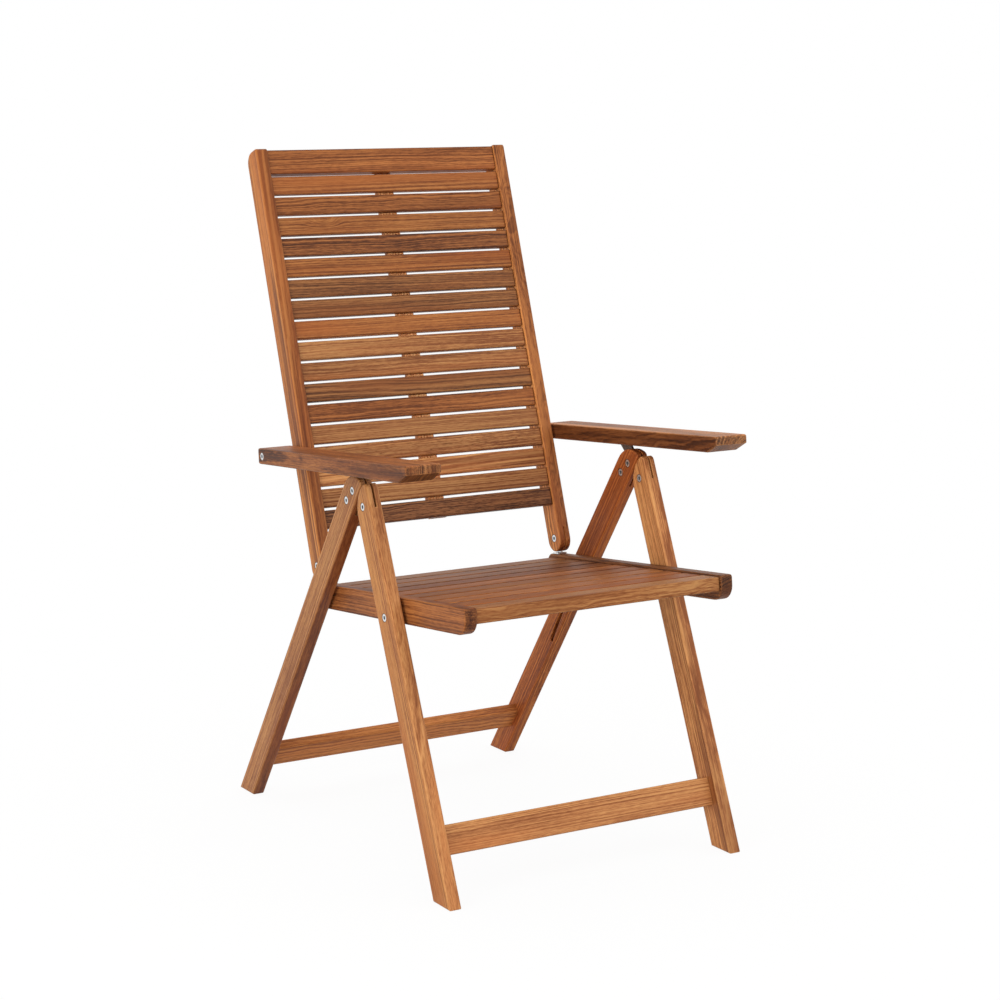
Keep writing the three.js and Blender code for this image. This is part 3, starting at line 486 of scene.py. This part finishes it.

# %% [markdown]
# ## Faces and ends
# A board is not equally dark all round: the sides of the armrests are darker than their tops, for
# one. Here that is painted light and shade: some sides, undersides and fronts are made lighter or
# darker as the light would fall on them. A second material on some faces would do it, but the grain
# would break at the edge. So the object's own normal tells where a face looks, and the tone follows
# it. End grain is found in the same way: it faces along the board.

# %% Tones of single faces
# How light the sides, the faces that look down, the fronts and the ends are in red, green and blue,
# against the rest of the board; on sides, undersides and fronts this is painted light and shade. The
# batten of the back is painted much lighter in front, where it shows in the shaded gaps between the
# slats.
PAINTED_SIDE_LIGHT = {
    "armrest_left": (0.327, 0.26, 0.22),
    "armrest_right": (0.70, 0.70, 0.69),
    "back_stile_left": (1.92, 2.25, 2.40),
    "back_stile_right": (1.30, 1.38, 1.32),
    "front_leg_left": (1.06, 1.11, 1.10),
    "front_leg_right": (0.84, 0.80, 0.70),
}
PAINTED_UNDERSIDE_LIGHT = {
    "rear_leg_right": (0.63, 0.48, 0.42),
    "rear_leg_left": (1.12, 1.20, 1.10),
    "armrest_right": (0.46, 0.46, 0.45),
    "armrest_left": (0.55, 0.52, 0.50),
}
PAINTED_FRONT_LIGHT = {"back_batten": (2.4, 2.8, 3.4)}
END_TONE = (0.50, 0.46, 0.44)
END_TONES = {
    "seat_rail_left": (0.40, 0.36, 0.35),
    "seat_rail_right": (0.33, 0.31, 0.33),
    "armrest_left": (0.29, 0.35, 0.50),
    "armrest_right": (0.44, 0.52, 0.64),
}
print("boards with a darker or lighter side:", len(PAINTED_SIDE_LIGHT))

# %% Tone the faces and the ends
# Between which values of the normal a face counts as one of its kind.
SIDEWAYS = (0.6, 0.8)
DOWNWARDS = (-0.3, -0.5)
FORWARDS = (-0.6, -0.8)
ENDWAYS = (0.55, 0.92)
# Spots where the end grain took up less oil, and how dark it is there.
END_SPOTS = ((300, 420, 420), 3.0, 0.3, 0.6)
SPOT_DARKNESS = 0.5


def faces_with_painted_light(recipe, colour, normal, name):
    """The board's colour with painted light and shade on its sides, its underside and its front."""
    looks = recipe.add("ShaderNodeSeparateXYZ", "where the face looks", {0: normal}).outputs
    kinds = (
        (PAINTED_SIDE_LIGHT, recipe.maths("ABSOLUTE", looks[0]), SIDEWAYS),
        (PAINTED_UNDERSIDE_LIGHT, looks[2], DOWNWARDS),
        (PAINTED_FRONT_LIGHT, looks[1], FORWARDS),
    )
    for tones, look, (low, high) in kinds:
        if name in tones:
            colour = recipe.toned(recipe.between(look, low, high), colour, tones[name])
    return colour


def soaked_ends(recipe, colour, normal, loose, along, name):
    """The board's colour with dark, spotted end grain."""
    facing = recipe.maths("ABSOLUTE", recipe.vector("DOT_PRODUCT", normal, along))
    darkness = patches(recipe, loose, END_SPOTS, SPOT_DARKNESS, 1.0)
    soaked = recipe.between(facing, *ENDWAYS, 0.0, darkness)
    return recipe.toned(soaked, colour, END_TONES.get(name, END_TONE))


print("an end is multiplied by", END_TONE)

# %% [markdown]
# ## Edges, joints and bolts
# The rounded edges are found with the Bevel node: it gives the normal that a rounded edge would
# have, and where that differs from the real normal, there is an edge. On legs, rails and armrests
# the line along it is lighter, partly rubbed wear and partly a painted highlight; on the slats and
# the top rail it is a painted shade line. The line is broken up by noise, so that it comes and goes.
# Slats and the top rail get a painted shade line at their ends too, where they meet the stiles, and
# the wood is darker round each bolt.

# %% Lines along edges and joints, rings round bolts
EDGE_ROUND = 0.0024
EDGE_SAMPLES = 6
# How alike the two normals are where the line along an edge starts, and where it is full.
EDGE_FROM, EDGE_FULL = 0.997, 0.93
EDGE_STRENGTH = 0.72
# Painted highlight, partly rubbed wear, on the edges of legs, rails and armrests.
EDGE_HIGHLIGHT_AND_WEAR = 1.18
# Where the line along an edge is full, and what is left of it elsewhere.
EDGE_LINE_SPOTS = ((38, 60, 60), 2.0, 0.35, 0.62)
EDGE_LINE_LEAST = 0.25
# Painted shade along the rounded edges of the slats and the top rail.
SLAT_EDGE_PAINTED_SHADE = (0.26, 0.21, 0.20)
# Painted shade at both ends of the slats and the top rail, where the stiles meet them.
JOINT_WIDTH = 0.0026
JOINT_STRENGTH = 0.75
JOINT_SHADE_TONE = (0.25, 0.2, 0.18)
# The radius of the dark ring round a bolt, and the share of it that is evenly dark.
DARK_RING_RADIUS = 0.0078
DARK_RING_SOLID = 0.84
DARK_RING_STRENGTH = 0.72
DARK_RING_TONE = (0.22, 0.17, 0.15)


def edge_line(recipe, loose, rounded):
    """How much of a line there is along the rounded edges."""
    edge_spots = patches(recipe, loose, EDGE_LINE_SPOTS, 1.0, EDGE_LINE_LEAST)
    real = recipe.tree.nodes.new("ShaderNodeNewGeometry").outputs["True Normal"]
    alike = recipe.vector("DOT_PRODUCT", rounded, real)
    edge = recipe.between(alike, EDGE_FROM, EDGE_FULL, 0.0, EDGE_STRENGTH)
    return recipe.maths("MULTIPLY", edge, edge_spots)


def painted_joint_shade(recipe, colour, grain, length):
    """The slat's colour with a painted shade line at both ends."""
    along = recipe.add("ShaderNodeSeparateXYZ", "parts", {0: grain}).outputs[0]
    from_end = recipe.maths("SUBTRACT", length / 2, recipe.maths("ABSOLUTE", along))
    joint_shade = recipe.between(from_end, 0.0, JOINT_WIDTH, JOINT_STRENGTH, 0.0)
    return recipe.toned(joint_shade, colour, JOINT_SHADE_TONE)


def darken_round_bolts(recipe, colour, place, bolts):
    """The board's colour with a dark ring round each bolt."""
    for bolt in bolts:
        off_axis = recipe.off_axis(place, bolt)
        solid = DARK_RING_RADIUS * DARK_RING_SOLID
        darkening = recipe.between(off_axis, solid, DARK_RING_RADIUS, DARK_RING_STRENGTH, 0.0)
        colour = recipe.toned(darkening, colour, DARK_RING_TONE)
    return colour


print("a bolt's stain is", round(DARK_RING_RADIUS * 2000, 1), "mm wide")

# %% [markdown]
# ## The teak material
# Now the parts come together. The sheen of the oil is a middling roughness that changes with the
# fibres, and the relief is a fine bump, since the grain is too shallow to model. The slats of the
# seat and one rear leg shine less than the other boards, as if they had been wiped drier.

# %% One board's teak
# Each board is cut from its own place in the noise, up to this many metres off.
PLACE_SPREAD = 9
BASE_ROUGHNESS, FIBRE_ROUGHNESS, PORE_ROUGHNESS = 0.36, 0.26, 0.2
RING_RELIEF = 0.6
RELIEF_STRENGTH = 0.30
RELIEF_DEPTH = 0.0003
OIL_IOR = 1.45
GLOSS = 0.25
DULL_GLOSS = 0.17
DULL_BOARDS = ("seat_slat", "rear_leg_left")


def teak(name, board, plank, figure, strength, bolts, knot):
    """Oiled teak for one board. bolts: a point on the axis of each bolt that goes through it."""
    chance = random.Random(name)
    middle, along, lay, size = board_frame(board)
    made = bpy.data.materials.new(f"teak_{name}")
    made.use_nodes = True
    recipe = Recipe(made.node_tree)
    where = recipe.tree.nodes.new("ShaderNodeTexCoord").outputs
    placed = {"Vector": where["Object"], "Location": -(lay @ middle), "Rotation": lay.to_euler()}
    grain = recipe.add("ShaderNodeMapping", "grain runs along X", placed).outputs[0]
    loose = recipe.vector("ADD", grain, [chance.uniform(0, PLACE_SPREAD) for axis in range(3)])
    wood = wood_colour(recipe, grain, loose, size, plank, strength, figure, chance, knot)
    colour, fibres, rings, pores = wood
    # Painted light and shade on the sides, undersides and fronts listed in the tables.
    colour = faces_with_painted_light(recipe, colour, where["Normal"], name)
    colour = soaked_ends(recipe, colour, where["Normal"], loose, along, name)

    bevel = {"Radius": EDGE_ROUND}
    rounded = recipe.add("ShaderNodeBevel", "rounded edge", bevel, samples=EDGE_SAMPLES).outputs[0]
    # Slats and the top rail get a painted shade line along their edges; the other boards get a lighter
    # edge line, partly rubbed wear and partly painted highlight.
    if "slat" in name or name == "back_top_rail":
        edge_wear_and_painted_light = recipe.vector("MULTIPLY", colour, SLAT_EDGE_PAINTED_SHADE)
        # Painted shade at the ends, where the stiles meet the slat.
        colour = painted_joint_shade(recipe, colour, grain, size[0])
    else:
        edge_wear_and_painted_light = srgb(PLANKS[plank][2], EDGE_HIGHLIGHT_AND_WEAR * strength)
    colour = recipe.mixed(edge_line(recipe, loose, rounded), colour, edge_wear_and_painted_light)
    colour = darken_round_bolts(recipe, colour, where["Object"], bolts)

    dry = recipe.maths("MULTIPLY_ADD", pores, PORE_ROUGHNESS, BASE_ROUGHNESS)
    roughness = recipe.maths("MULTIPLY_ADD", fibres, FIBRE_ROUGHNESS, dry)
    height = recipe.maths("MULTIPLY_ADD", rings, RING_RELIEF, recipe.maths("SUBTRACT", fibres, pores))
    bump = {"Strength": RELIEF_STRENGTH, "Distance": RELIEF_DEPTH, "Height": height, "Normal": rounded}
    oiled = {
        "Base Color": colour,
        "Roughness": roughness,
        "Normal": recipe.add("ShaderNodeBump", "relief of the grain", bump).outputs[0],
        "IOR": OIL_IOR,
        "Specular IOR Level": DULL_GLOSS if name.startswith(DULL_BOARDS) else GLOSS,
    }
    recipe.finish(recipe.add("ShaderNodeBsdfPrincipled", "oiled teak", oiled))
    return made


print("the teak recipe is ready")

# %% [markdown]
# ## Which board is cut from which plank
# The slats of the back go from honey to walnut in no order, as the joiner took them from the pile.
# A random choice could give them, but then the chair would not look like this one, so each board
# names its plank, its figure and how light it is against the plank's own colours.

# %% Planks of the boards
BOARDS = {
    "back_top_rail": ("chestnut", "straight", 1.08),
    "back_slat_01": ("honey", "plain", 0.90),
    "back_slat_02": ("chestnut", "waving", 0.91),
    "back_slat_03": ("honey", "straight", 0.80),
    "back_slat_04": ("walnut", "waving", 1.13),
    "back_slat_05": ("honey", "straight", 0.86),
    "back_slat_06": ("hazel", "straight", 0.95),
    "back_slat_07": ("hazel", "straight", 0.92),
    "back_slat_08": ("honey", "plain", 0.90),
    "back_slat_09": ("straw", "straight", 0.83),
    "back_slat_10": ("straw", "waving", 0.80),
    "back_slat_11": ("hazel", "banded", 0.87),
    "back_slat_12": ("chestnut", "waving", 0.95),
    "back_slat_13": ("straw", "plain", 0.75),
    "back_slat_14": ("straw", "porous", 0.80),
    "back_slat_15": ("straw", "banded", 1.08),
    "back_slat_16": ("straw", "straight", 0.80),
    "back_slat_17": ("umber", "porous", 1.10),
    "back_batten": ("straw", "straight", 1.10),
    "back_stile_left": ("chestnut", "waving", 0.99),
    "back_stile_right": ("honey", "banded", 0.92),
    "armrest_left": ("hazel", "banded", 1.66),
    "armrest_right": ("walnut", "banded", 1.52),
    "seat_rail_left": ("walnut", "straight", 0.80),
    "seat_rail_right": ("chestnut", "banded", 0.95),
    "seat_batten": ("hazel", "straight", 1.0),
    "seat_slat_01": ("straw", "waving", 0.76),
    "seat_slat_02": ("chestnut", "straight", 1.02),
    "seat_slat_03": ("chestnut", "waving", 1.08),
    "seat_slat_04": ("honey", "straight", 0.93),
    "seat_slat_05": ("honey", "straight", 0.69),
    "seat_slat_06": ("chestnut", "straight", 1.10),
    "seat_slat_07": ("chestnut", "straight", 0.76),
    "seat_slat_08": ("walnut", "waving", 1.0),
    "seat_slat_09": ("hazel", "straight", 1.0),
    "seat_slat_10": ("hazel", "waving", 1.0),
    "front_leg_left": ("straw", "banded", 1.15),
    "front_leg_right": ("straw", "straight", 1.06),
    "rear_leg_left": ("amber", "straight", 0.98),
    "rear_leg_right": ("straw", "straight", 0.81),
    "front_stretcher": ("straw", "plain", 1.05),
    "rear_stretcher": ("honey", "waving", 1.21),
}
print(len(BOARDS), "boards have a plank")

# %% Knots and bolts of the boards
# Place of a knot from the middle of the board, along, across and through it, and how many times its
# reach fits in a metre each way.
KNOTS = {
    "back_slat_03": (-0.13, 0.0, 0.004, 22.0, 60.0, 60.0),
    "back_top_rail": (0.12, 0.0, -0.010, 20.0, 55.0, 55.0),
    "back_slat_09": (-0.02, 0.0, 0.012, 60.0, 140.0, 140.0),
}
# A board without a knot has one far off its end.
NO_KNOT = (9.0, 0.0, 0.0, 1.0, 1.0, 1.0)
# Which bolts go through which kind of board.
BOLTS = {
    "front_leg": ("leg_pivot_bolt", "seat_pivot_bolt"),
    "rear_leg": ("plate_bolt", "leg_plate"),
    "seat_rail": ("seat_pivot_bolt", "seat_pin"),
    "back_stile": ("back_hinge_bolt", "arm_bolt"),
    "armrest": ("arm_bolt",),
}
SAME_FACE = 0.0002


def head_axis(piece):
    """Where the bolt's axis passes: the middle of the outermost round face."""
    corners = np.array([vertex.co for vertex in piece.data.vertices])
    outwards = np.abs(corners[:, 0])
    outermost = corners[outwards > outwards.max() - SAME_FACE]
    middle = (outermost.min(0) + outermost.max(0)) / 2
    return (0.0, middle[1], middle[2])


print("knots in", list(KNOTS))

# %% Give every board its teak
for name, (plank, figure, strength) in BOARDS.items():
    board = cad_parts[name]
    part, side = name.rsplit("_", 1)
    bolts = [head_axis(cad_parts[f"{bolt}_{side}"]) for bolt in BOLTS.get(part, ())]
    knot = KNOTS.get(name, NO_KNOT)
    finish = teak(name, board, plank, FIGURES[figure], strength, bolts, knot)
    for slot in board.material_slots:
        slot.material = finish
print(len(BOARDS), "boards are cut")

# %% [markdown]
# ## Zinc-plated steel
# Bolts, plates, pins and brackets are zinc-plated: a light, slightly blue grey, half matt, with a
# cloudy bloom. A plain metal would look like chrome, so the roughness changes from place to place
# and a fine bump breaks up the mirror. Each bolt's finish is darker round its own axis, as painted
# shade in the socket of the head, and so is the rim that touches the wood, as a painted shadow line.

# %% The zinc recipe
ZINC_TINT = (0.90, 0.91, 0.92, 1)
ZINC_BLOOM = (0.66, 0.68, 0.69, 1)
BOLT_PAINTED_SHADE = (0.070, 0.080, 0.090, 1)
BLOOM = ((420, 420, 420), 3.0)
SCRATCHES = ((2600, 2600, 2600), 2.0)
BLOOM_LOW, BLOOM_HIGH = 0.34, 0.66
# Distances from the bolt's axis between which the painted shade of the socket and of the rim fades.
SOCKET_SOLID, SOCKET_END, SOCKET_STRENGTH = 0.0021, 0.00375, 0.85
RIM_START, RIM_SOLID, RIM_STRENGTH = 0.005456, 0.006014, 0.8
# How much rougher and smoother than its mean the plate is, and at which values of the bloom.
ROUGHER, SMOOTHER = 0.12, 0.06
ROUGH_BLOOM, SMOOTH_BLOOM = 0.3, 0.7
PLATE_ROUND = 0.0005
PLATE_SAMPLES = 4
SKIN_STRENGTH = 0.12
SKIN_DEPTH = 0.0001


def zinc(name, roughness, axis=None):
    """Zinc plate with a cloudy bloom. axis: a point on the bolt's axis, round which shade is painted."""
    made = bpy.data.materials.new(name)
    made.use_nodes = True
    recipe = Recipe(made.node_tree)
    where = recipe.tree.nodes.new("ShaderNodeTexCoord").outputs["Object"]
    bloom = recipe.noise(where, *BLOOM)
    scratches = recipe.noise(where, *SCRATCHES)
    colour = recipe.ramp(bloom, ((BLOOM_LOW, ZINC_BLOOM), (BLOOM_HIGH, ZINC_TINT)))
    # Painted shade in the socket of the head, and a painted shadow line at the rim that touches the
    # wood.
    if axis:
        off_axis = recipe.off_axis(where, axis)
        socket_shade = recipe.between(off_axis, SOCKET_SOLID, SOCKET_END, SOCKET_STRENGTH, 0.0)
        rim_shade = recipe.between(off_axis, RIM_START, RIM_SOLID, 0.0, RIM_STRENGTH)
        colour = recipe.mixed(recipe.maths("MAXIMUM", socket_shade, rim_shade), colour, BOLT_PAINTED_SHADE)
    bevel = {"Radius": PLATE_ROUND}
    rounded = recipe.add("ShaderNodeBevel", "rounded edge", bevel, samples=PLATE_SAMPLES).outputs[0]
    bump = {"Strength": SKIN_STRENGTH, "Distance": SKIN_DEPTH, "Height": scratches, "Normal": rounded}
    rougher, smoother = roughness + ROUGHER, roughness - SMOOTHER
    plated = {
        "Base Color": colour,
        "Roughness": recipe.between(bloom, ROUGH_BLOOM, SMOOTH_BLOOM, rougher, smoother),
        "Metallic": 1.0,
        "Normal": recipe.add("ShaderNodeBump", "skin", bump).outputs[0],
    }
    recipe.finish(recipe.add("ShaderNodeBsdfPrincipled", "zinc plate", plated))
    return made


print("the zinc recipe is ready")

# %% Plate the fittings
FLAT_ROUGHNESS = 0.32
BOLT_ROUGHNESS = 0.34

flat_zinc = zinc("zinc_flat_parts", FLAT_ROUGHNESS)
steel_names = [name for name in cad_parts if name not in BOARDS]
for name in steel_names:
    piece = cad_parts[name]
    has_head = "bolt" in name or "pin" in name or "leg_plate" in name
    finish = zinc(f"zinc_{name}", BOLT_ROUGHNESS, head_axis(piece)) if has_head else flat_zinc
    for slot in piece.material_slots:
        slot.material = finish
print("steel pieces:", len(steel_names))

# %% [markdown]
# ## The screws of the battens
# Each slat is held from behind by a screw through the batten. The picture does not show them, but
# somebody who turns the chair round expects them. One screw is modelled by hand: a thin round, its
# face stepped in from the rim, and a cross cut in with two bars. The bars could be drawn as a
# pattern, but a real recess catches the light.

# %% The round head of a screw
SCREW_SIDES = 20
SCREW_RADIUS = 0.0034
SCREW_THICKNESS = 0.0010
RIM_WIDTH = 0.0009
FACE_RISE = 0.00025
UPWARDS = 0.9

bpy.ops.object.select_all(action="DESELECT")
bpy.ops.mesh.primitive_cylinder_add(vertices=SCREW_SIDES, radius=SCREW_RADIUS, depth=SCREW_THICKNESS)
screw = bpy.context.object
bpy.ops.object.mode_set(mode="EDIT")
shape = bmesh.from_edit_mesh(screw.data)
for face in shape.faces:
    face.select_set(face.normal.z > UPWARDS)
bmesh.update_edit_mesh(screw.data)
bpy.ops.mesh.inset(thickness=RIM_WIDTH)
bpy.ops.transform.translate(value=(0, 0, FACE_RISE))
bpy.ops.object.mode_set(mode="OBJECT")
print("the head has", len(screw.data.polygons), "faces")

# %% Cut the cross
# Length, width and height of each bar.
CROSS_BAR = (0.0040, 0.0009, 0.0012)

for turned in (0.0, math.pi / 2):
    bpy.ops.object.select_all(action="DESELECT")
    face_height = SCREW_THICKNESS / 2 + FACE_RISE
    bpy.ops.mesh.primitive_cube_add(size=1, location=(0, 0, face_height), rotation=(0, 0, turned))
    bar = bpy.context.object
    bar.scale = CROSS_BAR
    bpy.ops.object.transform_apply(location=True, rotation=True, scale=True)
    cut = screw.modifiers.new("cross", "BOOLEAN")
    cut.operation = "DIFFERENCE"
    cut.object = bar
    bpy.context.view_layer.objects.active = screw
    bpy.ops.object.modifier_apply(modifier=cut.name)
    bpy.ops.object.select_all(action="DESELECT")
    bar.select_set(True)
    bpy.ops.object.delete()
print("with its cross the screw has", len(screw.data.polygons), "faces")

# %% [markdown]
# ## Drive in the screws
# The middle of each slat, dropped square on the outer face of the batten, is the place of its
# screw. The batten of the seat starts behind the first slat, so that slat has none. Each screw is
# a copy with a mesh of its own, turned a different way, as screws are when they sit tight. A screw
# rides on the body of its batten.

# %% How a row of screws is driven in
SCREW_PROUD = 0.0004
SCREW_STRAY = 0.002


def drive_screws(word, body, batten_name, slats, chance):
    """One screw for each slat, in the batten's face that looks away from the slats."""
    middle, along, lay, size = board_frame(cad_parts[batten_name])
    first = board_frame(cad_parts[slats[0]])[0]
    outward = along.cross(Vector((1, 0, 0))).normalized()
    if outward.dot(middle - first) < 0:
        outward = -outward
    upright = outward.to_track_quat("Z", "Y").to_matrix().to_4x4()
    depth = min(size) / 2
    for number, slat in enumerate(slats, 1):
        slat_middle = board_frame(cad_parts[slat])[0]
        place = middle + along * along.dot(slat_middle - middle)
        place.x = chance.uniform(-SCREW_STRAY, SCREW_STRAY)
        place += outward * (depth + SCREW_PROUD - SCREW_THICKNESS / 2)
        made = screw.copy()
        made.data = screw.data.copy()
        made.name = f"screw_{word}_{number:02d}"
        bpy.context.scene.collection.objects.link(made)
        twist = Matrix.Rotation(chance.uniform(0, math.pi / 2), 4, "Z")
        made.matrix_world = Matrix.Translation(place) @ upright @ twist
        bpy.ops.object.select_all(action="DESELECT")
        made.select_set(True)
        bpy.context.view_layer.objects.active = made
        bpy.ops.object.transform_apply(location=True, rotation=True, scale=True)
        made.data.materials.append(zinc_of_screws)
        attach(made, body)


print("a screw stands out by", SCREW_PROUD, "m")

# %% Put a screw behind each slat
SCREW_ROUGHNESS = 0.36

zinc_of_screws = zinc("zinc_screws", SCREW_ROUGHNESS)
chance = random.Random("screws")
back_slats = [f"back_slat_{number:02d}" for number in range(1, 18)]
seat_slats = [f"seat_slat_{number:02d}" for number in range(2, 11)]
drive_screws("back", "back", "back_batten", back_slats, chance)
drive_screws("seat", "seat", "seat_batten", seat_slats, chance)
bpy.ops.object.select_all(action="DESELECT")
screw.select_set(True)
bpy.ops.object.delete()
